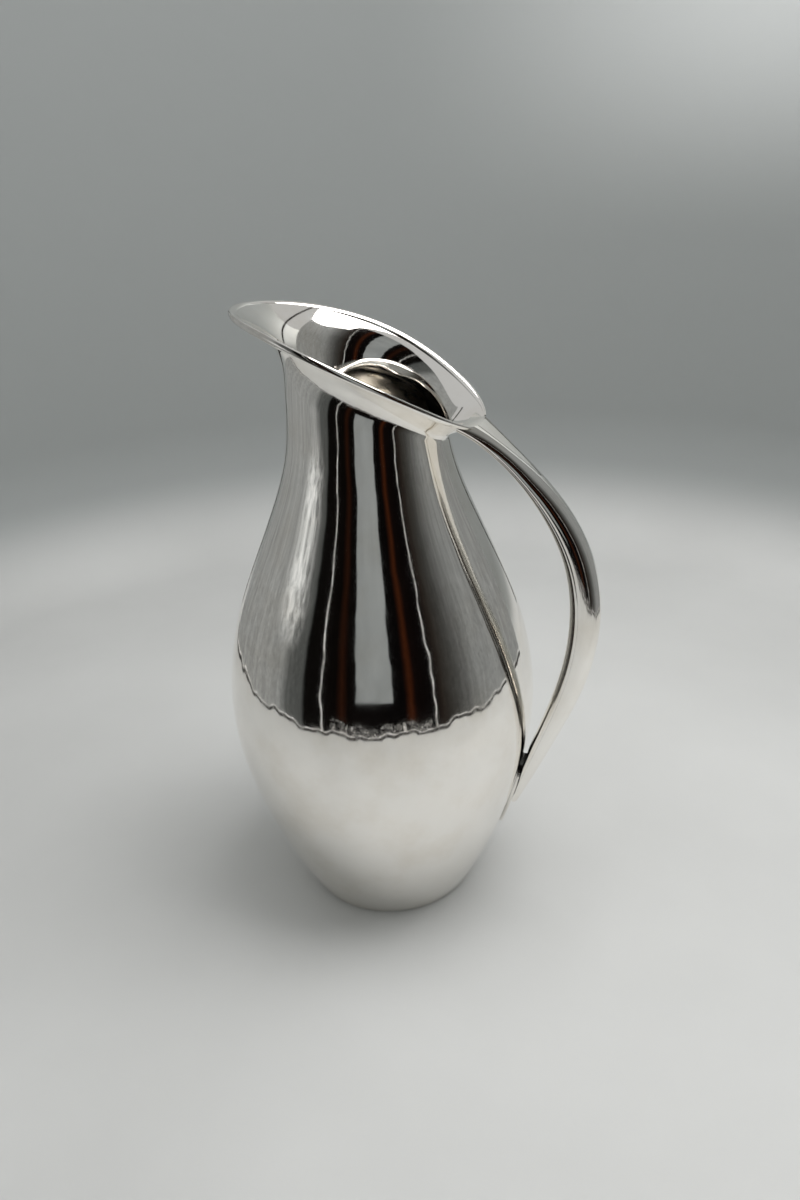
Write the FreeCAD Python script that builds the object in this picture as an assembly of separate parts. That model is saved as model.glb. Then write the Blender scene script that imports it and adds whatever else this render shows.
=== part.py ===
import FreeCAD, Part
import math
import os

# A silver water pitcher: raised body, flared mouth trimmed on a slope, hollow loop handle.
# Frame: millimetres, +Z up, origin at the centre of the foot on its resting plane.
# The spout points to -X, the handle to +X, and the pitcher is symmetrical about Y = 0.

V = FreeCAD.Vector

# ---- Body of revolution: outside radius at each height ----
foot_radius = 33.9
bowl_height = 31.5
bowl_radius = 47.6
belly_height = 82.0
belly_radius = 58.4
shoulder_height = 126.0
shoulder_radius = 50.2
neck_root_height = 157.5
neck_root_radius = 36.8
neck_height = 180.6
neck_radius = 29.0
throat_height = 199.5
throat_radius = 27.2
wall = 1.0

# ---- Mouth: outline in plan from the body's axis, and its sloping line in side view ----
spout_reach = 43.0
mouth_front_quarter = 35.9
mouth_side = 32.3
mouth_back_quarter = 34.5
mouth_back_reach = 41.0
spout_height = 227.0
mouth_side_height = 213.4
mouth_back_height = 189.3
flare_depth_spout = 21.0
flare_depth_back = 5.5
flare_power = 3.0

# ---- Soldered joints and small pieces ----
solder_gap = 0.04
seam_lap = 4.0
base_lift = 1.0
base_thickness = 1.2
base_rise = 2.0
wire_radius = 1.6
wire_bite = 0.8
wire_end_angle = 168.0
drop_thickness = 1.3
drop_half_width = 4.6
drop_tip_height = 28.6
drop_top_height = 63.0
strap_thickness = 0.9
handle_wall = 1.3
vent_radius = 0.8

# ---- Handle: its middle line runs from inside the mouth's back down to the body ----
handle_foot_height = 41.5
# share along, share of the drop, distance out from the body's side, half thickness, half width
handle_stations = [
    (0.10, 0.074, 20.1, 2.6, 6.4),
    (0.20, 0.156, 28.2, 3.7, 6.0),
    (0.35, 0.302, 31.7, 4.9, 5.7),
    (0.50, 0.467, 25.3, 5.3, 5.6),
    (0.65, 0.633, 15.5, 4.8, 5.2),
    (0.80, 0.792, 6.8, 3.8, 4.5),
]
root_inset = 5.1
root_rise = 2.1
root_half_thickness = 2.2
root_half_width = 6.2
foot_stand_off = 1.0
foot_half_thickness = 2.2
foot_half_width = 3.2
fan_extra = 6.5
fan_share = 0.16
strap_root_half_width = 5.6
strap_tip_half_width = 0.5
strap_end_share = 0.175
hollow_start_share = 0.10
hollow_end_share = 0.80
vent_share = 0.74
root_tool_share = 0.30
root_clearance = 12.0

section_step = 15.0
profile_points = 12
lip_points = 20
handle_sections = 22
section_bunching = 1.8
cut_tolerance = 0.001


def spline_by(parameters, points):
    """A curve through the points whose parameter at each of them is the one given."""
    curve = Part.BSplineCurve()
    curve.interpolate(Points=points, Parameters=[float(p) for p in parameters])
    return curve


# ---- Shape of the outside wall ----
heights = [0.0, bowl_height, belly_height, shoulder_height, neck_root_height, neck_height, throat_height,
           spout_height]
radii = [foot_radius, bowl_radius, belly_radius, shoulder_radius, neck_root_radius, neck_radius,
         throat_radius, throat_radius]
profile = spline_by(heights, [V(r, 0, z) for r, z in zip(radii, heights)])

quarter_radii = [spout_reach, mouth_front_quarter, mouth_side, mouth_back_quarter, mouth_back_reach,
                 mouth_back_quarter, mouth_side, mouth_front_quarter]
mouth_angles = [45.0 * i for i in range(-2, 11)]
mouth_plan = spline_by(mouth_angles, [V(quarter_radii[i % 8], 45.0 * i, 0) for i in range(-2, 11)])


def mouth_reach(angle):
    """Radius of the mouth's edge in plan, at an angle in degrees from the spout."""
    return mouth_plan.value(angle % 360.0).x


def mouth_height(angle):
    """Height of the mouth's edge, on one parabola in side view through its three named points."""
    x = -mouth_reach(angle) * math.cos(math.radians(angle))
    to_spout = (spout_height - mouth_side_height) / -spout_reach
    to_back = (mouth_back_height - mouth_side_height) / mouth_back_reach
    bend = (to_back - to_spout) / (mouth_back_reach + spout_reach)
    slope = to_back - bend * mouth_back_reach
    return mouth_side_height + slope * x + bend * x * x


def outside_radius(angle, height):
    """Radius of the outside wall: the body of revolution plus the flare of the lip."""
    forward = (1 + math.cos(math.radians(angle))) / 2
    depth = flare_depth_back + (flare_depth_spout - flare_depth_back) * forward * (2 - forward)
    top = mouth_height(angle)
    share = max(0.0, (height - top + depth) / depth)
    flare = mouth_reach(angle) - profile.value(top).x
    return profile.value(height).x + flare * share ** flare_power


def wall_slope(angle, height):
    """Change of the outside radius with height."""
    step = 0.05
    return (outside_radius(angle, height) - outside_radius(angle, height - step)) / step


def in_plan(angle, radius, height):
    """A point at an angle in degrees from the spout, a radius from the axis and a height."""
    turn = math.radians(angle)
    return V(-radius * math.cos(turn), radius * math.sin(turn), height)


def wall_point(angle, height, depth, beyond=0.0):
    """A point of the wall, a depth inside its outer face and a distance past it along the wall."""
    slope = wall_slope(angle, height)
    size = math.hypot(1.0, slope)
    radius = outside_radius(angle, height) + (beyond * slope - depth) / size
    return in_plan(angle, radius, height + (beyond + depth * slope) / size)


# ---- Small helpers for solids ----
def curve_edge(points):
    """A smooth edge through points spread evenly along it."""
    last = len(points) - 1
    return spline_by([i / last for i in range(last + 1)], points).toShape()


def line_edge(start, end):
    return Part.makeLine(start, end)


def loft(wires):
    return Part.makeLoft(wires, True, False)


def revolve(edges):
    """A full turn of a closed outline in the XZ plane about the Z axis."""
    face = Part.Face(Part.Wire(edges))
    return face.revolve(V(0, 0, 0), V(0, 0, 1), 360.0)


def ring(point_at):
    """A closed curve round the body through the points that a function gives at even angles."""
    count = int(round(360.0 / section_step))
    curve = Part.BSplineCurve()
    curve.interpolate(Points=[point_at(section_step * i) for i in range(count)], PeriodicFlag=True)
    return Part.Wire(curve.toShape())


def closed_wall(stretches):
    """The solid between skins: each stretch is a list of rings, and its last ring meets the next stretch."""
    faces = []
    for rings, following in zip(stretches, stretches[1:] + stretches[:1]):
        faces += Part.makeLoft(rings + following[:1], False, len(rings) == 1).Faces
    shell = Part.Shell(faces)
    shell.sewShape()
    solid = Part.Solid(shell)
    solid.fix(cut_tolerance, cut_tolerance, cut_tolerance)
    return solid


def largest(shape):
    """The main solid of a cut, without any crumb that the cut set free."""
    return max(shape.Solids, key=lambda solid: solid.Volume)


# ---- Body ----
lap_radius = belly_radius - wall / 2


def inner_radius(height):
    """Inside radius of the lower body, one wall in from the profile measured across the wall."""
    tangent = profile.tangent(height)[0]
    return profile.value(height).x - wall / abs(tangent.z)


def make_lower_body():
    """Bowl below the widest line, with a tongue that stands inside the upper body's skirt."""
    outer = profile.copy()
    outer.segment(0.0, belly_height)
    tongue_top = wall_point(0.0, belly_height + seam_lap, wall).z - solder_gap
    tongue_outer = lap_radius - solder_gap / 2
    inner_points = [V(inner_radius(belly_height * i / profile_points), 0, belly_height * i / profile_points)
                    for i in range(profile_points + 1)]
    inner_top = inner_points[-1]
    corners = [
        V(belly_radius, 0, belly_height),
        V(tongue_outer, 0, belly_height),
        V(tongue_outer, 0, tongue_top),
        V(inner_top.x, 0, tongue_top),
        inner_top,
    ]
    edges = [outer.toShape()]
    edges += [line_edge(a, b) for a, b in zip(corners, corners[1:])]
    edges += [curve_edge(inner_points)]
    edges += [line_edge(inner_points[0], V(foot_radius, 0, 0))]
    return revolve(edges)


def lip_rises():
    """Shares of the way up a wall, closer together towards the flare at the top."""
    return [math.sin(math.pi / 2 * i / lip_points) for i in range(lip_points + 1)]


def wall_rings(low, depth, edge_grow=0.0):
    """Rings of the wall at one depth in it, from a level height up to the mouth's sloping edge."""
    def at_rise(rise):
        return ring(lambda angle: wall_point(angle, low + (mouth_height(angle) - low) * rise, depth,
                                             edge_grow * rise))

    return [at_rise(rise) for rise in lip_rises()]


def level_ring(radius, height):
    return ring(lambda angle: in_plan(angle, radius, height))


def make_upper_body():
    """Shoulder, neck and flared lip, raised in one piece, with a skirt round the bowl's tongue."""
    skirt_foot = belly_height + solder_gap
    skirt_inner = lap_radius + solder_gap / 2
    step_height = belly_height + seam_lap
    outer = wall_rings(skirt_foot, 0.0)
    inner = wall_rings(step_height, wall)[::-1]
    return closed_wall([
        outer[:-1],
        outer[-1:],
        inner[:-1],
        inner[-1:],
        [level_ring(skirt_inner, step_height)],
        [level_ring(skirt_inner, skirt_foot)],
    ])


def lip_tool(outer_grow, inner_depth, edge_grow):
    """The lip's wall made larger, which cuts what fits against the lip."""
    outer = wall_rings(neck_root_height, -outer_grow, edge_grow)
    inner = wall_rings(neck_root_height, inner_depth, edge_grow)[::-1]
    return closed_wall([outer[:-1], outer[-1:], inner[:-1], inner[-1:]])


def make_base_disc():
    """Slightly domed bottom that lodges in the taper of the wall just above the foot."""
    under = base_lift
    over = base_lift + base_thickness
    under_edge = V(inner_radius(under) - solder_gap, 0, under)
    over_edge = V(inner_radius(over) - solder_gap, 0, over)

    def dome(edge_point):
        shares = [1 - i / 4 for i in range(5)]
        return [V(edge_point.x * share, 0, edge_point.z + base_rise * (1 - share * share)) for share in shares]

    under_dome = dome(under_edge)
    over_dome = dome(over_edge)
    return revolve([
        curve_edge(under_dome),
        line_edge(under_dome[-1], over_dome[-1]),
        curve_edge(over_dome),
        line_edge(over_edge, under_edge),
    ])


# ---- Handle ----
mouth_back = wall_point(180.0, mouth_height(180.0), wall / 2)
root_point = mouth_back + V(-root_inset, 0, root_rise)


def make_route():
    """The handle's middle line, and its half thickness and half width, by share of the way along."""
    shares = [0.0]
    middle = [root_point]
    sizes = [V(root_half_thickness, root_half_width, 0)]
    for share, drop, stand_off, thick, wide in handle_stations:
        height = root_point.z + (handle_foot_height - root_point.z) * drop
        shares.append(share)
        middle.append(V(profile.value(height).x + stand_off, 0, height))
        sizes.append(V(thick, wide, 0))
    shares.append(1.0)
    middle.append(V(profile.value(handle_foot_height).x + foot_stand_off, 0, handle_foot_height))
    sizes.append(V(foot_half_thickness, foot_half_width, 0))
    return spline_by(shares, middle), spline_by(shares, sizes)


route, route_sizes = make_route()


def strap_half_width(share):
    """Half width of the flat on the handle's back, which narrows to the strap's point."""
    left = max(0.0, 1.0 - share / strap_end_share)
    return strap_tip_half_width + (strap_root_half_width - strap_tip_half_width) * left


def handle_half_width(share):
    """Half width of the handle, which fans out at the root to meet the two ends of the rim wire."""
    fan = max(0.0, 1.0 - share / fan_share)
    return route_sizes.value(share).y + fan_extra * fan ** 3


def on_section(share, across, out):
    """A point of the handle's cross-section: across is along Y, out is away from the body."""
    tangent = route.tangent(share)[0]
    outward = V(-tangent.z, 0, tangent.x)
    return route.value(share) + V(0, across, 0) + outward * out


def half_section(share, side, grow, from_middle):
    """Closed half of the handle's oval section, outer (side 1) or inner (side -1)."""
    thick = route_sizes.value(share).x + grow
    wide = handle_half_width(share) + grow
    flat = strap_half_width(share)
    quarter = [math.radians(22.5 * i) for i in range(5)]
    rise = [(flat + (wide - flat) * math.cos(a), from_middle + (thick - from_middle) * math.sin(a))
            for a in quarter]
    right = [on_section(share, across, side * out) for across, out in rise]
    left = [on_section(share, -across, side * out) for across, out in reversed(rise)]
    return Part.Wire([
        curve_edge(right),
        line_edge(right[-1], left[0]),
        curve_edge(left),
        line_edge(left[-1], right[0]),
    ])


def handle_shares(start, end):
    """Shares for the handle's sections, closer together at the root."""
    steps = [(i / handle_sections) ** section_bunching for i in range(handle_sections + 1)]
    return [start + (end - start) * step for step in steps]


def handle_half(side):
    """One thin-walled half of the handle, split along its side seam."""
    outside = loft([half_section(s, side, 0.0, solder_gap / 2) for s in handle_shares(0.0, 1.0)])
    hollow = loft([half_section(s, side, -handle_wall, -handle_wall)
                   for s in handle_shares(hollow_start_share, hollow_end_share)])
    return outside.cut(hollow)


def strap_loft(grow, above):
    """The pointed strap let into the handle's back, or the pocket for it."""
    wires = []
    for i in range(5):
        share = strap_end_share * i / 4
        half = strap_half_width(share) + grow
        top = route_sizes.value(share).x + above
        floor = route_sizes.value(share).x - strap_thickness - grow
        corners = [on_section(share, half, floor), on_section(share, half, top),
                   on_section(share, -half, top), on_section(share, -half, floor)]
        wires.append(Part.makePolygon(corners + corners[:1]))
    return loft(wires)


def body_ring(inner_grow, outer_grow, low, high):
    """A ring round the lower body between two distances out from its side."""
    def side(grow):
        count = 6
        return [V(profile.value(low + (high - low) * i / count).x + grow, 0, low + (high - low) * i / count)
                for i in range(count + 1)]

    inner = side(inner_grow)
    outer = side(outer_grow)
    return revolve([
        curve_edge(inner),
        line_edge(inner[-1], outer[-1]),
        curve_edge(outer),
        line_edge(outer[0], inner[0]),
    ])


def make_handle_drop():
    """Thin pointed plate that lies on the body under the handle's foot and runs on below it."""
    middle = (drop_tip_height + drop_top_height) / 2
    tip = V(0, 0, drop_tip_height)
    top = V(0, 0, drop_top_height)
    outline = Part.Wire([
        Part.Arc(tip, V(0, drop_half_width, middle), top).toShape(),
        Part.Arc(top, V(0, -drop_half_width, middle), tip).toShape(),
    ])
    leaf = Part.Face(outline).extrude(V(2 * belly_radius, 0, 0))
    margin = 3.0
    ring = body_ring(solder_gap, solder_gap + drop_thickness, drop_tip_height - margin, drop_top_height + margin)
    return largest(leaf.common(ring))


def make_handle():
    """The two halves of the hollow handle and the strap on its back."""
    lip = lip_tool(solder_gap, root_clearance, solder_gap)
    seat = body_ring(-2 * wall, 2 * solder_gap + drop_thickness, handle_foot_height / 2, shoulder_height)
    back = handle_half(1).cut(strap_loft(solder_gap, wall)).cut(lip).cut(seat)
    front = handle_half(-1).cut(lip).cut(seat)
    vent_start = on_section(vent_share, 0, 0)
    vent_end = on_section(vent_share, 0, -2 * route_sizes.value(vent_share).x)
    front = front.cut(Part.makeCylinder(vent_radius, (vent_end - vent_start).Length, vent_start,
                                        vent_end - vent_start))
    strap = strap_loft(0.0, 0.0).cut(lip)
    return largest(back), largest(front), largest(strap)


def wire_section(angle):
    """Round section of the rim wire, with a slot that takes the lip's edge."""
    top = mouth_height(angle)
    middle = wall / 2
    half_slot = middle + 2 * solder_gap
    centre = wire_radius - wire_bite
    mouth_of_slot = centre - math.sqrt(wire_radius ** 2 - half_slot ** 2)
    under = wall_point(angle, top, middle - half_slot, mouth_of_slot)
    far = wall_point(angle, top, middle, centre + wire_radius)
    over = wall_point(angle, top, middle + half_slot, mouth_of_slot)
    slot_over = wall_point(angle, top, middle + half_slot, solder_gap)
    slot_under = wall_point(angle, top, middle - half_slot, solder_gap)
    return Part.Wire([
        Part.Arc(under, far, over).toShape(),
        line_edge(over, slot_over),
        line_edge(slot_over, slot_under),
        line_edge(slot_under, under),
    ])


def make_rim_wire():
    """Round wire round the lip's edge, with its two ends against the handle's root."""
    steps = int(wire_end_angle / section_step)
    wire = loft([wire_section(wire_end_angle * i / steps) for i in range(-steps, steps + 1)])
    for side in (1, -1):
        root = loft([half_section(s, side, 2 * solder_gap, -solder_gap / 2) for s in handle_shares(0.0, 1.0)
                     if s < root_tool_share])
        wire = wire.cut(root)
    return largest(wire)


def build():
    handle_back, handle_front, handle_strap = make_handle()
    return {
        "lower_body": make_lower_body(),
        "upper_body": make_upper_body(),
        "base_disc": make_base_disc(),
        "rim_wire": make_rim_wire(),
        "handle_back": handle_back,
        "handle_front": handle_front,
        "handle_strap": handle_strap,
        "handle_drop": make_handle_drop(),
    }


os.makedirs("parts", exist_ok=True)
for node, solid in build().items():
    solid.exportStep("parts/" + node + ".step")
    print(node, "valid", solid.isValid(), "closed", solid.isClosed(), "solids", len(solid.Solids),
          "volume", round(solid.Volume, 1))
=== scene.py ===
import math
import bmesh
import bpy
import numpy as np
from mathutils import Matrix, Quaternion, Vector


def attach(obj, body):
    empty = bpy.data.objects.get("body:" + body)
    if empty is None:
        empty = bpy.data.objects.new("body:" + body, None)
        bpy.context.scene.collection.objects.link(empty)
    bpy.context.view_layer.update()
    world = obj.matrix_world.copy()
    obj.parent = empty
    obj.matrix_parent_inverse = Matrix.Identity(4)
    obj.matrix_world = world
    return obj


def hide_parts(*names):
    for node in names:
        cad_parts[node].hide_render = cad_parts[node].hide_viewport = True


# A silver water pitcher on a pale sheet, in metres, +Z up, spout to -X, handle to +X.
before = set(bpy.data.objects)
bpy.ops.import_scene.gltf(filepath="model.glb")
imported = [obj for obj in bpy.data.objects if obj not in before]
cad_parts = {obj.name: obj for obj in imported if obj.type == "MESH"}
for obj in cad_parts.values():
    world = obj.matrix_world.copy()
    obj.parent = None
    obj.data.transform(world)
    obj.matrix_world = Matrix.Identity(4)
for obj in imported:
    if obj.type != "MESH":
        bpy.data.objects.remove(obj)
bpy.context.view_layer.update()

# ---- Lower body: the bowl ----
# Raised from a flat silver disc with hammer and stake, planished, then buffed to a mirror.
# It stands on its own lower edge, and its seam with the shoulder is soldered and polished away.
foot_radius = 33.9
bowl_height = 31.5
bowl_radius = 47.6
belly_height = 82.0
belly_radius = 58.4
shoulder_height = 126.0
shoulder_radius = 50.2
neck_root_height = 157.5
neck_root_radius = 36.8
neck_height = 180.6
neck_radius = 29.0
throat_height = 199.5
throat_radius = 27.2
spout_height = 227.0
wall = 1.0
solder_gap = 0.04
seam_lap = 4.0
round_steps = 384
bowl_steps = 110
foot_edge = 0.6
seam_row = 0.05
sharp_from = math.radians(35.0)
weld_gap = 1e-7
MM = 0.001


def smooth_curve(stations, values):
    """A curve with steady bending through the values, as a function of the station."""
    at = np.array(stations, float)
    value = np.array(values, float)
    if value.ndim == 1:
        value = value[:, None]
    count = len(at)
    gap = np.diff(at)
    rise = np.diff(value, axis=0) / gap[:, None]
    system = np.zeros((count, count))
    system[0, 0] = system[-1, -1] = 1.0
    target = np.zeros_like(value)
    target[0] = rise[0] - (rise[1] - rise[0]) * gap[0] / (gap[0] + gap[1])
    target[-1] = rise[-1] + (rise[-1] - rise[-2]) * gap[-1] / (gap[-1] + gap[-2])
    for i in range(1, count - 1):
        system[i, i - 1] = gap[i]
        system[i, i] = 2 * (gap[i - 1] + gap[i])
        system[i, i + 1] = gap[i - 1]
        target[i] = 3 * (gap[i] * rise[i - 1] + gap[i - 1] * rise[i])
    slope = np.linalg.solve(system, target)

    def curve(station):
        x = np.asarray(station, float)
        i = np.clip(np.searchsorted(at, x, side="right") - 1, 0, count - 2)
        width = gap[i][..., None]
        t = ((x - at[i]) / gap[i])[..., None]
        points = (value[i] * (1 + 2 * t) * (1 - t) ** 2 + value[i + 1] * t * t * (3 - 2 * t)
                  + slope[i] * width * t * (1 - t) ** 2 - slope[i + 1] * width * t * t * (1 - t))
        return points[..., 0] if value.shape[1] == 1 else points

    return curve


profile = smooth_curve(
    [0.0, bowl_height, belly_height, shoulder_height, neck_root_height, neck_height, throat_height,
     spout_height],
    [foot_radius, bowl_radius, belly_radius, shoulder_radius, neck_root_radius, neck_radius,
     throat_radius, throat_radius])


def in_plan(angle, radius, height):
    """Points at an angle in degrees from the spout, a radius from the axis and a height."""
    turn = np.radians(angle)
    angle, radius, height = np.broadcast_arrays(turn, radius, height)
    return np.stack([-radius * np.cos(angle), radius * np.sin(angle), height], -1)


def grid_piece(name, rows, around=True, along=False, caps=False):
    """A smooth closed skin over rows of points in millimetres."""
    rows = np.asarray(rows, float)
    count, wide = rows.shape[:2]
    index = np.arange(count * wide).reshape(count, wide)
    faces = []
    for i in range(count if along else count - 1):
        low, high = index[i], index[(i + 1) % count]
        for j in range(wide if around else wide - 1):
            k = (j + 1) % wide
            faces.append((low[j], low[k], high[k], high[j]))
    if caps:
        faces.append(tuple(index[0][::-1]))
        faces.append(tuple(index[-1]))
    mesh = bpy.data.meshes.new(name)
    mesh.from_pydata((rows.reshape(-1, 3) * MM).tolist(), [], faces)
    skin = bmesh.new()
    skin.from_mesh(mesh)
    bmesh.ops.remove_doubles(skin, verts=skin.verts, dist=weld_gap)
    bmesh.ops.recalc_face_normals(skin, faces=skin.faces)
    for face in skin.faces:
        face.smooth = True
    for edge in skin.edges:
        if edge.is_manifold and edge.calc_face_angle() > sharp_from:
            edge.smooth = False
    skin.to_mesh(mesh)
    skin.free()
    piece = bpy.data.objects.new(name, mesh)
    bpy.context.scene.collection.objects.link(piece)
    return piece


around_body = np.arange(round_steps) * 360.0 / round_steps


def lathe(name, radii, heights):
    """A skin turned about the pitcher's axis through a closed outline."""
    rows = [in_plan(around_body, r, z) for r, z in zip(radii, heights)]
    return grid_piece(name, rows, along=True)


bowl_heights = np.append(np.linspace(foot_edge, belly_height - seam_row, bowl_steps), belly_height)
bowl_outside = profile(bowl_heights)
bowl_slope = np.gradient(bowl_outside, bowl_heights)
bowl_inside = bowl_outside - wall * np.hypot(1.0, bowl_slope)
tongue_radius = belly_radius - wall / 2 - solder_gap / 2
tongue_top = belly_height + seam_lap - solder_gap
lower_body = lathe(
    "lower_body",
    np.concatenate([[foot_radius - foot_edge], bowl_outside, [tongue_radius, tongue_radius],
                    [bowl_inside[-1]], bowl_inside[::-1], [bowl_inside[0] + foot_edge / 2]]),
    np.concatenate([[0.0], bowl_heights, [belly_height, tongue_top],
                    [tongue_top], bowl_heights[::-1], [0.0]]))


def linear(hex_colour):
    """A linear colour from an sRGB hex value."""
    parts = [int(hex_colour[i:i + 2], 16) / 255 for i in (1, 3, 5)]
    return [c / 12.92 if c <= 0.04045 else ((c + 0.055) / 1.055) ** 2.4 for c in parts] + [1.0]


def add(tree, kind, settings=None, stops=(), **inputs):
    """Adds a node with its settings, a ramp's (place, hex colour) stops, its values and its links."""
    made = tree.nodes.new(kind)
    for key, value in (settings or {}).items():
        setattr(made, key, value)
    if stops:
        while len(made.color_ramp.elements) < len(stops):
            made.color_ramp.elements.new(0.5)
        for element, (place, colour) in zip(made.color_ramp.elements, stops):
            element.position = place
            element.color = linear(colour)
    for key, value in inputs.items():
        socket = made.inputs[int(key[1:])] if key[0] == "n" and key[1:].isdigit() else made.inputs[
            key.replace("_", " ")]
        if isinstance(value, bpy.types.NodeSocket):
            tree.links.new(value, socket)
        else:
            socket.default_value = value
    return made


def new_material(name):
    """An empty node material and its tree."""
    material = bpy.data.materials.new(name)
    material.use_nodes = True
    material.node_tree.nodes.clear()
    return material, material.node_tree


def per_metre(millimetres):
    """A pattern scale that repeats at a size given in millimetres."""
    return 1000.0 / millimetres


def polished_silver(name, wave_size, wave_height, hairline_turn, roughness=0.035, residue_reach=0.0):
    """Sterling silver, planished by hammer and buffed: a warm mirror with a slow ripple and hairlines.

    Painted shade: joints narrower than the shade's reach in millimetres are darkened by occlusion.
    """
    material, tree = new_material(name)
    place = add(tree, "ShaderNodeTexCoord").outputs["Object"]
    tarnish = add(tree, "ShaderNodeTexNoise", Vector=place, Scale=per_metre(26.0), Detail=6.0,
                  Roughness=0.62).outputs["Fac"]
    colour = add(tree, "ShaderNodeValToRGB", Fac=tarnish, stops=[
        (0.30, "#F2EDE5"), (0.52, "#FAF7F2"), (0.75, "#FCFAF6")]).outputs["Color"]
    if residue_reach:
        # Painted shade: occlusion darkens narrow joints to near black, in place of the dark reflections
        # there.
        shut_in = add(tree, "ShaderNodeAmbientOcclusion", {"samples": 8},
                      Distance=residue_reach * MM).outputs["AO"]
        residue = add(tree, "ShaderNodeMapRange", {"interpolation_type": "SMOOTHSTEP"}, Value=shut_in,
                      n1=0.30, n2=0.62, n3=1.0, n4=0.0).outputs[0]
        colour = add(tree, "ShaderNodeMix", {"data_type": "RGBA"}, n0=residue, n6=colour,
                     n7=linear("#1C1410")).outputs[2]
    turned = add(tree, "ShaderNodeMapping", Vector=place, Rotation=hairline_turn,
                 Scale=(per_metre(0.45), per_metre(0.45), per_metre(28.0))).outputs["Vector"]
    hairlines = add(tree, "ShaderNodeTexNoise", Vector=turned, Scale=1.0, Detail=3.0,
                    Roughness=0.7).outputs["Fac"]
    rough_low = add(tree, "ShaderNodeMapRange", Value=hairlines, n1=0.35, n2=0.75, n3=roughness,
                    n4=roughness * 2.6).outputs[0]
    smears = add(tree, "ShaderNodeTexNoise", Vector=place, Scale=per_metre(9.0), Detail=5.0,
                 Roughness=0.7).outputs["Fac"]
    rough = add(tree, "ShaderNodeMapRange", Value=smears, n1=0.45, n2=0.80, n3=0.0,
                n4=roughness * 1.4).outputs[0]
    rough = add(tree, "ShaderNodeMath", {"operation": "ADD"}, n0=rough_low, n1=rough).outputs[0]
    waves = add(tree, "ShaderNodeTexNoise", Vector=place, Scale=per_metre(wave_size), Detail=1.5,
                Roughness=0.45).outputs["Fac"]
    ripple = add(tree, "ShaderNodeBump", Height=waves, Strength=1.0, Distance=wave_height * MM)
    lines = add(tree, "ShaderNodeBump", Height=hairlines, Normal=ripple.outputs[0], Strength=0.10,
                Distance=0.01 * MM)
    shader = add(tree, "ShaderNodeBsdfPrincipled", Base_Color=colour, Metallic=1.0, Roughness=rough,
                 Normal=lines.outputs[0])
    add(tree, "ShaderNodeOutputMaterial", Surface=shader.outputs[0])
    return material


body_silver = polished_silver("planished_silver", 17.0, 0.16, (0.0, 0.0, 0.0))


def fit(piece, material, node):
    """Gives a piece its material, hangs it under the root body and hides the CAD node that it stands for."""
    piece.data.materials.append(material)
    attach(piece, "root")
    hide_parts(node)


fit(lower_body, body_silver, "lower_body")

# ---- Upper body: shoulder, neck and mouth ----
# Raised silver like the bowl; the mouth is stretched out into a trumpet flare and trimmed on a slope,
# high at the spout and low at the handle. Its skirt laps over the bowl's tongue.
spout_reach = 43.0
mouth_front_quarter = 35.9
mouth_side = 32.3
mouth_back_quarter = 34.5
mouth_back_reach = 41.0
mouth_side_height = 213.4
mouth_back_height = 189.3
flare_depth_spout = 21.0
flare_depth_back = 5.5
flare_power = 3.0
upper_steps = 230

quarter_radii = [spout_reach, mouth_front_quarter, mouth_side, mouth_back_quarter, mouth_back_reach,
                 mouth_back_quarter, mouth_side, mouth_front_quarter]
mouth_plan = smooth_curve([45.0 * i for i in range(-2, 11)], [quarter_radii[i % 8] for i in range(-2, 11)])


def mouth_reach(angle):
    """Radius of the mouth's edge in plan, at an angle in degrees from the spout."""
    return mouth_plan(np.mod(angle, 360.0))


def mouth_height(angle):
    """Height of the mouth's edge, on one parabola in side view."""
    x = -mouth_reach(angle) * np.cos(np.radians(angle))
    to_spout = (spout_height - mouth_side_height) / -spout_reach
    to_back = (mouth_back_height - mouth_side_height) / mouth_back_reach
    bend = (to_back - to_spout) / (mouth_back_reach + spout_reach)
    slope = to_back - bend * mouth_back_reach
    return mouth_side_height + slope * x + bend * x * x


def outside_radius(angle, height):
    """Radius of the outside wall: the body of revolution plus the flare of the lip."""
    forward = (1 + np.cos(np.radians(angle))) / 2
    depth = flare_depth_back + (flare_depth_spout - flare_depth_back) * forward * (2 - forward)
    top = mouth_height(angle)
    share = np.maximum(0.0, (height - top + depth) / depth)
    return profile(height) + (mouth_reach(angle) - profile(top)) * share ** flare_power


def wall_point(angle, height, depth, beyond=0.0):
    """Points of the wall, a depth inside its outer face and a distance past it along the wall."""
    step = 0.05
    slope = (outside_radius(angle, height) - outside_radius(angle, height - step)) / step
    size = np.hypot(1.0, slope)
    radius = outside_radius(angle, height) + (beyond * slope - depth) / size
    return in_plan(angle, radius, height + (beyond + depth * slope) / size)


def wall_rows(low, depth):
    """Rows of the wall at one depth in it, closer together up the flare."""
    rises = np.sin(math.pi / 2 * np.linspace(0.0, 1.0, upper_steps))
    rises = np.insert(rises, 1, rises[1] * seam_row)
    return [wall_point(around_body, low + (mouth_height(around_body) - low) * rise, depth) for rise in rises]


skirt_radius = belly_radius - wall / 2 + solder_gap / 2
step_height = belly_height + seam_lap
upper_body = grid_piece(
    "upper_body",
    wall_rows(belly_height, 0.0) + wall_rows(step_height, wall)[::-1]
    + [in_plan(around_body, skirt_radius, step_height), in_plan(around_body, skirt_radius, belly_height)],
    along=True)
fit(upper_body, body_silver, "upper_body")

# ---- Base disc ----
# A slightly domed silver disc, pressed up into the taper of the wall just above the foot and soldered.
# Its underside is only pickled and brushed, so it is duller than the rest.
base_lift = 1.0
base_thickness = 1.2
base_rise = 2.0
dome_steps = 24


def inside_radius(height):
    """Inside radius of the bowl at a height."""
    step = 0.05
    slope = (profile(height + step) - profile(height)) / step
    return profile(height) - wall * np.hypot(1.0, slope)


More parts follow.
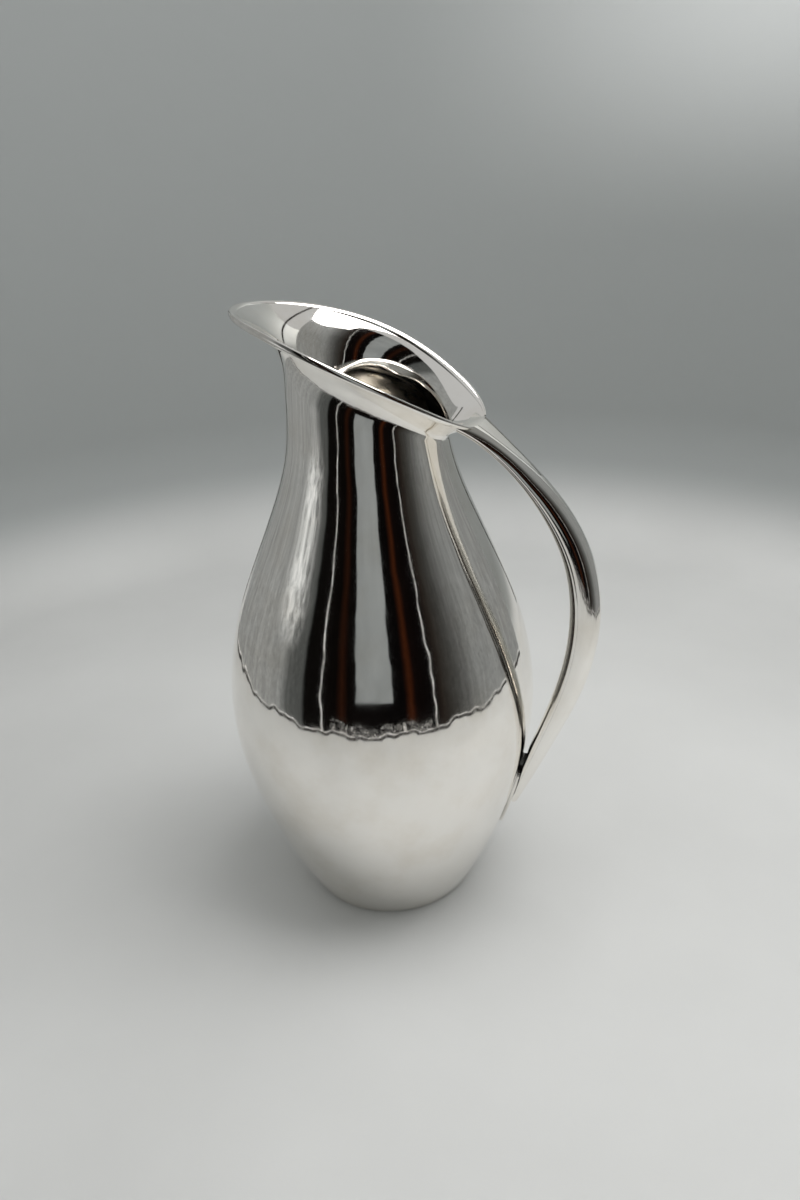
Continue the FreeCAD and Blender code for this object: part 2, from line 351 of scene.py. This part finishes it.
shares = np.linspace(1.0, 0.0, dome_steps)
under_radii = (inside_radius(base_lift) - solder_gap) * shares
over_radii = (inside_radius(base_lift + base_thickness) - solder_gap) * shares[::-1]
dome = base_rise * (1 - shares ** 2)
base_disc = lathe("base_disc", np.concatenate([under_radii, over_radii]),
                  np.concatenate([base_lift + dome, base_lift + base_thickness + dome[::-1]]))


def brushed_silver():
    """The unbuffed underside: fine circular brush lines that soften every reflection."""
    material, tree = new_material("brushed_silver")
    place = add(tree, "ShaderNodeTexCoord").outputs["Object"]
    distance = add(tree, "ShaderNodeVectorMath", {"operation": "LENGTH"}, n0=place).outputs["Value"]
    rings = add(tree, "ShaderNodeTexNoise", {"noise_dimensions": "1D"}, W=distance, Scale=per_metre(0.5),
                Detail=3.0).outputs["Fac"]
    clouds = add(tree, "ShaderNodeTexNoise", Vector=place, Scale=per_metre(12.0), Detail=5.0).outputs["Fac"]
    colour = add(tree, "ShaderNodeValToRGB", Fac=clouds, stops=[
        (0.30, "#CFC9BF"), (0.70, "#E9E6E0")]).outputs["Color"]
    rough = add(tree, "ShaderNodeMapRange", Value=clouds, n1=0.3, n2=0.7, n3=0.22, n4=0.38).outputs[0]
    lines = add(tree, "ShaderNodeBump", Height=rings, Strength=0.5, Distance=0.03 * MM)
    shader = add(tree, "ShaderNodeBsdfPrincipled", Base_Color=colour, Metallic=1.0, Roughness=rough,
                 Normal=lines.outputs[0])
    add(tree, "ShaderNodeOutputMaterial", Surface=shader.outputs[0])
    return material


fit(base_disc, brushed_silver(), "base_disc")

# ---- Rim wire ----
# Round drawn silver wire, slotted over the lip's edge and soldered, which stiffens the thin mouth.
# It is filed nearly flush on the inside, and its two ends run into the sides of the handle's root.
wire_radius = 1.6
wire_bite = 0.8
wire_end_angle = 168.0
wire_steps = 420
wire_arc_steps = 26
filed_share = 0.5
taper_start = 138.0
taper_depth = 0.72

wire_centre = wire_radius - wire_bite
half_slot = wall / 2 + 2 * solder_gap
slot_turn = math.asin(half_slot / wire_radius)
wire_turns = np.linspace(-math.pi + slot_turn, math.pi - slot_turn, wire_arc_steps)
wire_rise = wire_radius * np.sin(wire_turns)
wire_rise = np.where(wire_rise > 0, wire_rise * filed_share, wire_rise)
wire_depths = np.concatenate([wire_rise, [half_slot * filed_share, -half_slot]])
wire_beyonds = np.concatenate([wire_centre + wire_radius * np.cos(wire_turns), [solder_gap, solder_gap]])
wire_rows = []
for angle in np.linspace(-wire_end_angle, wire_end_angle, wire_steps):
    here = np.full(wire_depths.shape, angle)
    taper = 1.0 - taper_depth * max(0.0, (abs(angle) - taper_start) / (wire_end_angle - taper_start)) ** 2
    wire_rows.append(wall_point(here, mouth_height(here), wall / 2 + wire_depths * taper,
                                wire_beyonds * taper))
rim_wire = grid_piece("rim_wire", wire_rows, caps=True)
wire_silver = polished_silver("drawn_silver_wire", 22.0, 0.05, (0.0, 0.0, 0.0), 0.04)
fit(rim_wire, wire_silver, "rim_wire")

# ---- Handle: outer half ----
# Hollow silver handle, made of two chased halves soldered along the sides, oval in section.
# It fans out at the lip, and its back has a shallow pocket for a pointed strap.
handle_foot_height = 41.5
root_inset = 5.1
root_rise = 2.1
foot_stand_off = 1.0
fan_extra = 6.5
fan_share = 0.16
strap_root_half_width = 5.6
strap_tip_half_width = 0.5
strap_end_share = 0.175
strap_thickness = 0.9
drop_thickness = 1.3
seam_round = 0.16
seam_inward = 0.32
seam_ease = 3.0
root_search = 0.3
foot_search = 0.75
halvings = 40
step_bunching = 1.3
handle_steps = 260
quarter_steps = 18
flat_steps = 5

mouth_back = wall_point(180.0, mouth_height(180.0), wall / 2)
root_point = mouth_back + np.array([-root_inset, 0.0, root_rise])


def beside_body(drop, stand_off):
    """A point of the handle's middle line, a share of the way down and a distance out from the body."""
    height = root_point[2] + (handle_foot_height - root_point[2]) * drop
    return np.array([float(profile(height)) + stand_off, 0.0, height])


# share along, middle point, half thickness, half width
handle_route = [
    (0.00, root_point, 2.2, 6.2),
    (0.10, beside_body(0.074, 20.1), 2.6, 6.4),
    (0.20, beside_body(0.156, 28.2), 3.7, 6.0),
    (0.35, beside_body(0.302, 31.7), 4.9, 5.7),
    (0.50, beside_body(0.467, 25.3), 5.3, 5.6),
    (0.65, beside_body(0.633, 15.5), 4.8, 5.2),
    (0.80, beside_body(0.792, 6.8), 3.8, 4.5),
    (1.00, beside_body(1.0, foot_stand_off), 2.2, 3.2),
]
route = smooth_curve([r[0] for r in handle_route], [r[1] for r in handle_route])
half_thickness = smooth_curve([r[0] for r in handle_route], [r[2] for r in handle_route])
station_width = smooth_curve([r[0] for r in handle_route], [r[3] for r in handle_route])


def half_width(share):
    """Half width of the handle, which fans out at the root."""
    return station_width(share) + fan_extra * np.maximum(0.0, 1.0 - share / fan_share) ** 3


def strap_half_width(share):
    """Half width of the flat on the handle's back, which narrows to the strap's point."""
    left = np.maximum(0.0, 1.0 - share / strap_end_share)
    return strap_tip_half_width + (strap_root_half_width - strap_tip_half_width) * left


def on_section(share, across, out):
    """Points of the handle's section: across is along Y, out is away from the body."""
    step = 0.001
    ahead = route(share + step) - route(share - step)
    ahead /= np.linalg.norm(ahead, axis=-1, keepdims=True)
    outward = np.stack([-ahead[..., 2], np.zeros_like(ahead[..., 2]), ahead[..., 0]], -1)
    sideways = np.stack([0 * across, across, 0 * across], -1)
    return route(share) + sideways + outward * np.asarray(out)[..., None]


def outside_body(points):
    """Distance in plan from the body's outer face, above the mouth from its edge."""
    radius = np.hypot(points[..., 0], points[..., 1])
    angle = np.degrees(np.arctan2(points[..., 1], -points[..., 0]))
    return radius - outside_radius(angle, np.minimum(points[..., 2], mouth_height(angle)))


def run_between(section, last=1.0, rest=None):
    """Rows of a handle piece, from where each of its lines leaves the lip to where it meets the body."""
    columns = section(0.5)[0].size

    def points(shares):
        across, out = section(shares)
        return on_section(shares, across, out)

    def meeting(low, high, clear):
        for _ in range(halvings):
            middle = (low + high) / 2
            free = clear(points(middle))
            low, high = np.where(free, low, middle), np.where(free, middle, high)
        return high

    root = meeting(np.zeros(columns), np.full(columns, root_search), lambda p: outside_body(p) > solder_gap)
    foot = np.full(columns, last)
    if rest is not None:
        foot = meeting(np.full(columns, foot_search), np.ones(columns), lambda p: outside_body(p) < rest)
        foot = np.minimum(foot, last)
    steps = np.linspace(0.0, 1.0, handle_steps) ** step_bunching
    return [points(root + (foot - root) * step) for step in steps]


turns = np.radians(np.linspace(0.0, 90.0, quarter_steps))
ease = np.exp(-np.degrees(turns) / seam_ease)
flat_place = np.linspace(1.0, -1.0, flat_steps)
on_flat = np.ones(flat_steps)
edge_share = np.concatenate([np.ones(quarter_steps), flat_place, -np.ones(quarter_steps)])
curve_share = np.concatenate([np.cos(turns), 0 * on_flat, -np.cos(turns[::-1])])
ease_share = np.concatenate([ease, 0 * on_flat, -ease[::-1]])
rise_share = np.concatenate([np.sin(turns), on_flat, np.sin(turns[::-1])])
pocket_share = np.concatenate([0 * turns, on_flat, 0 * turns])


def oval_half(side, pocket):
    """The across and out values of one half's closed section, as a function of the share along."""
    def section(share):
        flat = strap_half_width(share)
        depth = np.where(share < strap_end_share, pocket, 0.0)
        across = flat * edge_share + (half_width(share) - flat) * curve_share - seam_round * ease_share
        rise = rise_share * (1 + side * seam_inward) - side * seam_inward
        return across, side * (half_thickness(share) * rise - depth * pocket_share + solder_gap / 2)

    return section


handle_rest = drop_thickness + 2 * solder_gap
handle_back = grid_piece("handle_back", run_between(oval_half(1, strap_thickness + solder_gap),
                                                    rest=handle_rest), caps=True)
# The handle's silver carries painted shade in its narrow joints.
handle_silver = polished_silver("chased_silver", 13.0, 0.07, (0.0, 0.3, 0.0), 0.045, residue_reach=4.0)
fit(handle_back, handle_silver, "handle_back")

# ---- Handle: inner half ----
# The half that faces the body, chased to match the outer one, so that a soldered seam runs down each side.
# It is the shallower of the two, because the handle is widest nearer the body.
handle_front = grid_piece("handle_front", run_between(oval_half(-1, 0.0), rest=handle_rest), caps=True)
fit(handle_front, handle_silver, "handle_front")

# ---- Handle strap ----
# A thin pointed silver strap, let into the handle's back at the lip and soldered flush.
# It covers the joint between the lip and the two halves.
strap_edge = 0.12
chased_line = 0.3
least_half_width = 0.1
end_margin = 0.001


def strap_section(share):
    """The across and out values of the strap's closed section, narrower than its pocket by a chased line."""
    flat = np.maximum(strap_half_width(share) - chased_line, least_half_width)
    top = half_thickness(share) + solder_gap / 2
    floor = top - strap_thickness
    across = np.array([1.0, 1.0, -1.0, -1.0, -1.0, -1.0, 1.0, 1.0]) * flat
    ease = np.array([0.0, 0.0, 0.0, 0.0, 0.0, strap_edge, strap_edge, 0.0])
    across = across - np.sign(across) * ease
    level = np.array([0.5, 0.0, 0.0, 0.5, 0.9, 1.0, 1.0, 0.9])
    return across, floor + (top - floor) * level


handle_strap = grid_piece("handle_strap", run_between(strap_section, last=strap_end_share - end_margin),
                          caps=True)
fit(handle_strap, handle_silver, "handle_strap")

# ---- Handle drop ----
# A thin leaf of silver, soldered flat on the bowl.
# The handle's foot sits on it, and its point runs on below.
drop_half_width = 4.6
drop_tip_height = 28.6
drop_top_height = 63.0
leaf_steps = 90
leaf_across = 17
leaf_edge_share = 0.72
leaf_point = 0.01

leaf_middle = (drop_tip_height + drop_top_height) / 2
leaf_half = (drop_top_height - drop_tip_height) / 2
leaf_radius = (leaf_half ** 2 + drop_half_width ** 2) / (2 * drop_half_width)
leaf_rows = []
for lift in np.cos(np.linspace(math.pi, 0.0, leaf_steps)):
    z = leaf_middle + leaf_half * lift
    half = math.sqrt(leaf_radius ** 2 - (z - leaf_middle) ** 2) - (leaf_radius - drop_half_width)
    spread = np.sin(np.linspace(-math.pi / 2, math.pi / 2, leaf_across))
    crown = drop_thickness * (leaf_edge_share + (1 - leaf_edge_share) * (1 - spread ** 4))
    outer_radius = profile(z) + solder_gap + crown
    inner_radius = profile(z) + solder_gap + 0 * spread
    radius = np.concatenate([outer_radius, inner_radius[::-1]])
    y = np.concatenate([spread, spread[::-1]]) * max(half, leaf_point)
    leaf_rows.append(in_plan(180.0 - np.degrees(np.arcsin(y / radius)), radius, z))
handle_drop = grid_piece("handle_drop", leaf_rows, caps=True)
fit(handle_drop, handle_silver, "handle_drop")

# ---- Stage: pale sheet ----
# A matt sheet lies flat and curves up all round into a plain grey wall.
# The wall is painted lighter towards the top right, a painted pool of light.
studio_turn = math.radians(20.0)
sheet_radius = 350.0
sheet_rise = 90.0
sheet_wall = 560.0
sheet_turn_step = 3.0

cove = np.linspace(0.0, math.pi / 2, 40)
sheet_outline = [(r, 0.0) for r in np.linspace(0.0, sheet_radius, 60)]
sheet_outline += [(sheet_radius + sheet_rise * math.sin(a), sheet_rise * (1 - math.cos(a))) for a in cove[1:]]
sheet_outline += [(sheet_radius + sheet_rise, z) for z in np.linspace(sheet_rise, sheet_wall, 12)[1:]]
sheet = grid_piece("sheet", [in_plan(np.arange(0, 360, sheet_turn_step), r, z) for r, z in sheet_outline])


def matt_sheet():
    """Matt vinyl sheet: an even pale grey floor with faint scuffs, darker where it rises into the wall, with
    painted light that makes the wall lighter towards the top right.
    """
    material, tree = new_material("matt_vinyl")
    place = add(tree, "ShaderNodeTexCoord").outputs["Object"]
    clouds = add(tree, "ShaderNodeTexNoise", Vector=place, Scale=per_metre(140.0), Detail=4.0).outputs["Fac"]
    floor = add(tree, "ShaderNodeValToRGB", Fac=clouds, stops=[
        (0.30, "#CDCDCB"), (0.70, "#D6D6D4")]).outputs["Color"]
    split = add(tree, "ShaderNodeSeparateXYZ", Vector=place)
    height = split.outputs["Z"]
    up = add(tree, "ShaderNodeMapRange", {"interpolation_type": "SMOOTHSTEP"}, Value=height, n1=0.0,
             n2=55.0 * MM, n3=0.0, n4=1.0).outputs[0]
    # Painted light: the wall is brightened towards the top right, on the key light's side.
    to_right = add(tree, "ShaderNodeMapRange", {"interpolation_type": "SMOOTHSTEP"}, Value=split.outputs["X"],
                   n1=-150.0 * MM, n2=170.0 * MM, n3=0.0, n4=1.0).outputs[0]
    to_top = add(tree, "ShaderNodeMapRange", {"interpolation_type": "SMOOTHSTEP"}, Value=height,
                 n1=210.0 * MM, n2=370.0 * MM, n3=0.0, n4=1.0).outputs[0]
    glow = add(tree, "ShaderNodeMath", {"operation": "MULTIPLY"}, n0=to_right, n1=to_top).outputs[0]
    wall_colour = add(tree, "ShaderNodeMix", {"data_type": "RGBA"}, n0=glow, n6=linear("#9A9D9C"),
                      n7=linear("#D6D8D7")).outputs[2]
    colour = add(tree, "ShaderNodeMix", {"data_type": "RGBA"}, n0=up, n6=floor, n7=wall_colour).outputs[2]
    grit = add(tree, "ShaderNodeTexNoise", Vector=place, Scale=per_metre(1.2), Detail=3.0).outputs["Fac"]
    bump = add(tree, "ShaderNodeBump", Height=grit, Strength=0.15, Distance=0.1 * MM)
    shader = add(tree, "ShaderNodeBsdfPrincipled", Base_Color=colour, Roughness=0.6, Normal=bump.outputs[0])
    add(tree, "ShaderNodeOutputMaterial", Surface=shader.outputs[0])
    return material


sheet.data.materials.append(matt_sheet())

# ---- Stage: reflectors ----
# Glowing panels stand round the pitcher and paint the light of the tent fabric, with a black gap in front and
# one narrow light strip in the gap. They are painted reflections that only the silver sees.
tent_left = -140.0
tent_right = 120.0
tent_foot = 8.0
tent_top = 900.0
tent_radius = 346.0
panel_rows = 90


def reflector(name, left, right, low, high, radius, material, wander=0.0, ruffle=0.0):
    """An upright curved panel, from one turn to another in degrees from the front, to the right."""
    turns_here = np.radians(np.linspace(left, right, max(3, int(2 * (right - left)) + 2)))
    wave = ruffle * (np.sin(turns_here * 9.0) + 0.6 * np.sin(turns_here * 23.0 + 1.0)
                     + 0.4 * np.sin(turns_here * 41.0))
    rows = []
    for z in np.linspace(low, high, panel_rows):
        sway = wander * (math.sin(z / 19.0) + 0.7 * math.sin(z / 8.3 + 1.0)) / radius
        rows.append(np.stack([radius * np.sin(turns_here + sway), -radius * np.cos(turns_here + sway),
                              z + wave], -1))
    panel = grid_piece(name, rows, around=False)
    panel.rotation_euler[2] = studio_turn
    panel.data.materials.append(material)
    panel.visible_camera = False
    panel.visible_diffuse = False
    panel.visible_shadow = False


def turn_of(tree, place):
    """The turn round the pitcher from the front, in degrees."""
    split = add(tree, "ShaderNodeSeparateXYZ", Vector=place)
    ahead = add(tree, "ShaderNodeMath", {"operation": "MULTIPLY"}, n0=split.outputs["Y"], n1=-1.0).outputs[0]
    turn = add(tree, "ShaderNodeMath", {"operation": "ARCTAN2"}, n0=split.outputs["X"], n1=ahead).outputs[0]
    return add(tree, "ShaderNodeMath", {"operation": "DEGREES"}, n0=turn).outputs[0], split.outputs["Z"]


def tent_fabric():
    """Glowing grey tent fabric with fine upright folds, a painted bright patch of light at the left, and the
    black gap with painted brown reflections in it.
    """
    material, tree = new_material("tent_fabric")
    place = add(tree, "ShaderNodeTexCoord").outputs["Object"]
    turn, height = turn_of(tree, place)
    share = add(tree, "ShaderNodeMapRange", Value=turn, n1=tent_left, n2=tent_right, n3=0.0,
                n4=1.0).outputs[0]

    def at(degrees):
        return (degrees - tent_left) / (tent_right - tent_left)

    # Painted reflection: the glow of the lit fabric all round, near black in the gap in front, with brown
    # streaks of painted reflection in the gap.
    fabric = add(tree, "ShaderNodeValToRGB", Fac=share, stops=[
        (at(-140), "#8A8C8B"), (at(-95), "#8E908F"), (at(-74), "#858786"), (at(-66), "#525453"),
        (at(-54), "#4A4C4B"), (at(-52), "#0A0908"), (at(-30), "#080605"), (at(-26), "#24120A"),
        (at(-22), "#080605"), (at(15), "#060505"), (at(19), "#381B0D"), (at(22), "#0C0706"),
        (at(34), "#060505"), (at(40), "#241F1B"),
        (at(50), "#3C3C3A"), (at(60), "#5E5F5E"), (at(70), "#7C7E7D"), (at(90), "#868887")]).outputs["Color"]
    folds = add(tree, "ShaderNodeMapping", Vector=place, Scale=(1.0, 1.0, 0.12)).outputs["Vector"]
    streaks = add(tree, "ShaderNodeTexNoise", Vector=folds, Scale=per_metre(16.0), Detail=5.0,
                  Roughness=0.65).outputs["Fac"]
    broad = add(tree, "ShaderNodeMapRange", Value=streaks, n1=0.3, n2=0.7, n3=0.80, n4=1.15).outputs[0]
    grain = add(tree, "ShaderNodeTexNoise", Vector=place, Scale=per_metre(11.0), Detail=7.0,
                Roughness=0.8, Distortion=0.8).outputs["Fac"]
    fine = add(tree, "ShaderNodeMapRange", Value=grain, n1=0.35, n2=0.65, n3=0.76, n4=1.26).outputs[0]
    shade = add(tree, "ShaderNodeMath", {"operation": "MULTIPLY"}, n0=broad, n1=fine).outputs[0]
    # Painted pool of light: a bright creased patch on the fabric at the left.
    centre = add(tree, "ShaderNodeVectorMath", {"operation": "DISTANCE"}, n0=place,
                 n1=(-0.331, -0.10, 0.225)).outputs["Value"]
    near = add(tree, "ShaderNodeMapRange", {"interpolation_type": "SMOOTHSTEP"}, Value=centre, n1=0.02,
               n2=0.11, n3=1.0, n4=0.0).outputs[0]
    creases = add(tree, "ShaderNodeTexNoise", Vector=place, Scale=per_metre(20.0), Detail=8.0,
                  Roughness=0.85).outputs["Fac"]
    lift = add(tree, "ShaderNodeMapRange", Value=creases, n1=0.42, n2=0.58, n3=0.0, n4=1.0).outputs[0]
    patch = add(tree, "ShaderNodeMath", {"operation": "MULTIPLY"}, n0=near, n1=lift).outputs[0]
    shaded = add(tree, "ShaderNodeVectorMath", {"operation": "SCALE"}, n0=fabric, Scale=shade).outputs[0]
    colour = add(tree, "ShaderNodeMix", {"data_type": "RGBA"}, n0=patch, n6=shaded,
                 n7=linear("#E8EAE9")).outputs[2]
    glow = add(tree, "ShaderNodeEmission", Color=colour, Strength=1.0)
    add(tree, "ShaderNodeOutputMaterial", Surface=glow.outputs[0])
    return material


def lit_cloth(name, low_colour, high_colour, grain):
    """A glowing surface with a soft uneven colour, which paints light seen only in the silver."""
    material, tree = new_material(name)
    place = add(tree, "ShaderNodeTexCoord").outputs["Object"]
    clouds = add(tree, "ShaderNodeTexNoise", Vector=place, Scale=per_metre(grain), Detail=4.0,
                 Roughness=0.6).outputs["Fac"]
    colour = add(tree, "ShaderNodeValToRGB", Fac=clouds, stops=[
        (0.35, low_colour), (0.65, high_colour)]).outputs["Color"]
    glow = add(tree, "ShaderNodeEmission", Color=colour, Strength=1.0)
    add(tree, "ShaderNodeOutputMaterial", Surface=glow.outputs[0])
    return material


def crumpled_hem():
    """The sheet's crumpled front hem, glowing: a tangle of thin bright creases of painted light over black.
    """
    material, tree = new_material("crumpled_hem")
    place = add(tree, "ShaderNodeTexCoord").outputs["Object"]
    creases = add(tree, "ShaderNodeTexNoise", Vector=place, Scale=per_metre(34.0), Detail=3.0,
                  Roughness=0.6, Distortion=1.2).outputs["Fac"]
    colour = add(tree, "ShaderNodeValToRGB", Fac=creases, stops=[
        (0.30, "#0E0C0B"), (0.42, "#0E0C0B"), (0.435, "#D8D6D2"), (0.45, "#0E0C0B"),
        (0.545, "#0E0C0B"), (0.565, "#E4E3E0"), (0.585, "#100E0D")]).outputs["Color"]
    glow = add(tree, "ShaderNodeEmission", Color=colour, Strength=1.0)
    add(tree, "ShaderNodeOutputMaterial", Surface=glow.outputs[0])
    return material


reflector("tent_wall", tent_left, tent_right, tent_foot, tent_top, tent_radius, tent_fabric(), ruffle=4.0)
# The light strip glows: painted light, seen only in the silver.
strip_cloth = lit_cloth("strip_cloth", "#7E8282", "#8C9090", 160.0)
reflector("light_strip", -16.5, 7.0, 88.0, tent_top, tent_radius - 3.0, strip_cloth, wander=2.0)
# The bright edges of the gap in front glow: painted highlights, seen only in the silver.
gap_edge = lit_cloth("gap_edge", "#9A9A98", "#F0F0EE", 30.0)
reflector("gap_edge_left", -40.6, -39.6, 10.0, tent_top, tent_radius - 2.0, gap_edge, wander=3.0)
reflector("gap_edge_right", 34.2, 35.1, 10.0, tent_top, tent_radius - 2.0, gap_edge, wander=3.0)
reflector("front_hem", -34.0, 32.0, 2.0, 36.0, tent_radius - 4.0, crumpled_hem(), ruffle=6.0)
# A dark line that paints the shadow under the sheet's hem, and the tent's dark seams.
dark_line = lit_cloth("painted_shadow_and_seam_line", "#141210", "#3A3734", 20.0)
# Painted shadow: a dark line just above the floor, under the hem.
reflector("hem_shadow_line", tent_left, tent_right, 4.0, 10.0, tent_radius - 5.0, dark_line, ruffle=4.0)
# A bright line above it paints the hem's lit edge.
reflector("hem_edge", tent_left, tent_right, 12.0, 15.0, tent_radius - 5.0, gap_edge, ruffle=4.0)
reflector("tent_seam_left", -152.0, -149.0, 5.0, tent_top, tent_radius - 5.0, dark_line)
reflector("tent_seam_right", 146.0, 149.0, 5.0, tent_top, tent_radius - 5.0, dark_line)

# ---- Light ----
# One large soft light over the tent, towards the right, and an even pale sky. A weak light at the left,
# which the silver doesn't reflect, opens up the shadow.
sky = bpy.data.worlds.new("studio_sky")
bpy.context.scene.world = sky
sky.use_nodes = True
sky.node_tree.nodes.clear()
sky_background = add(sky.node_tree, "ShaderNodeBackground", Color=linear("#F2F3F3"), Strength=0.55)
add(sky.node_tree, "ShaderNodeOutputWorld", Surface=sky_background.outputs[0])

key = bpy.data.lights.new("overhead", "AREA")
key.shape = "RECTANGLE"
key.size = 0.5
key.size_y = 0.4
key.energy = 3.3
key_light = bpy.data.objects.new("overhead", key)
key_light.location = (0.24, 0.06, 0.72)
key_light.rotation_euler = (0.0, math.radians(16.0), 0.0)
bpy.context.scene.collection.objects.link(key_light)

fill = bpy.data.lights.new("fill", "AREA")
fill.size = 0.5
fill.energy = 0.5
fill_light = bpy.data.objects.new("fill", fill)
fill_light.location = (-0.24, -0.16, 0.70)
fill_light.rotation_euler = (math.radians(-10.0), math.radians(-16.0), 0.0)
fill_light.visible_glossy = False
bpy.context.scene.collection.objects.link(fill_light)

# ---- Camera ----
# A short lens held above and in front, to the handle's side.
# It is turned slightly about its own axis.
camera_place = Vector((112.9, -285.95, 265.7)) * MM
camera_aim = Vector((7.79, 2.84, 121.29)) * MM
camera_roll = math.radians(-2.84)
lens = bpy.data.cameras.new("camera")
lens.sensor_width = 36.0
lens.lens = 27.09
camera = bpy.data.objects.new("camera", lens)
camera.location = camera_place
camera.rotation_mode = "QUATERNION"
facing = (camera_aim - camera_place).to_track_quat("-Z", "Y")
camera.rotation_quaternion = facing @ Quaternion((0.0, 0.0, 1.0), camera_roll)
bpy.context.scene.collection.objects.link(camera)
bpy.context.scene.camera = camera
bpy.context.scene.view_settings.view_transform = "Standard"
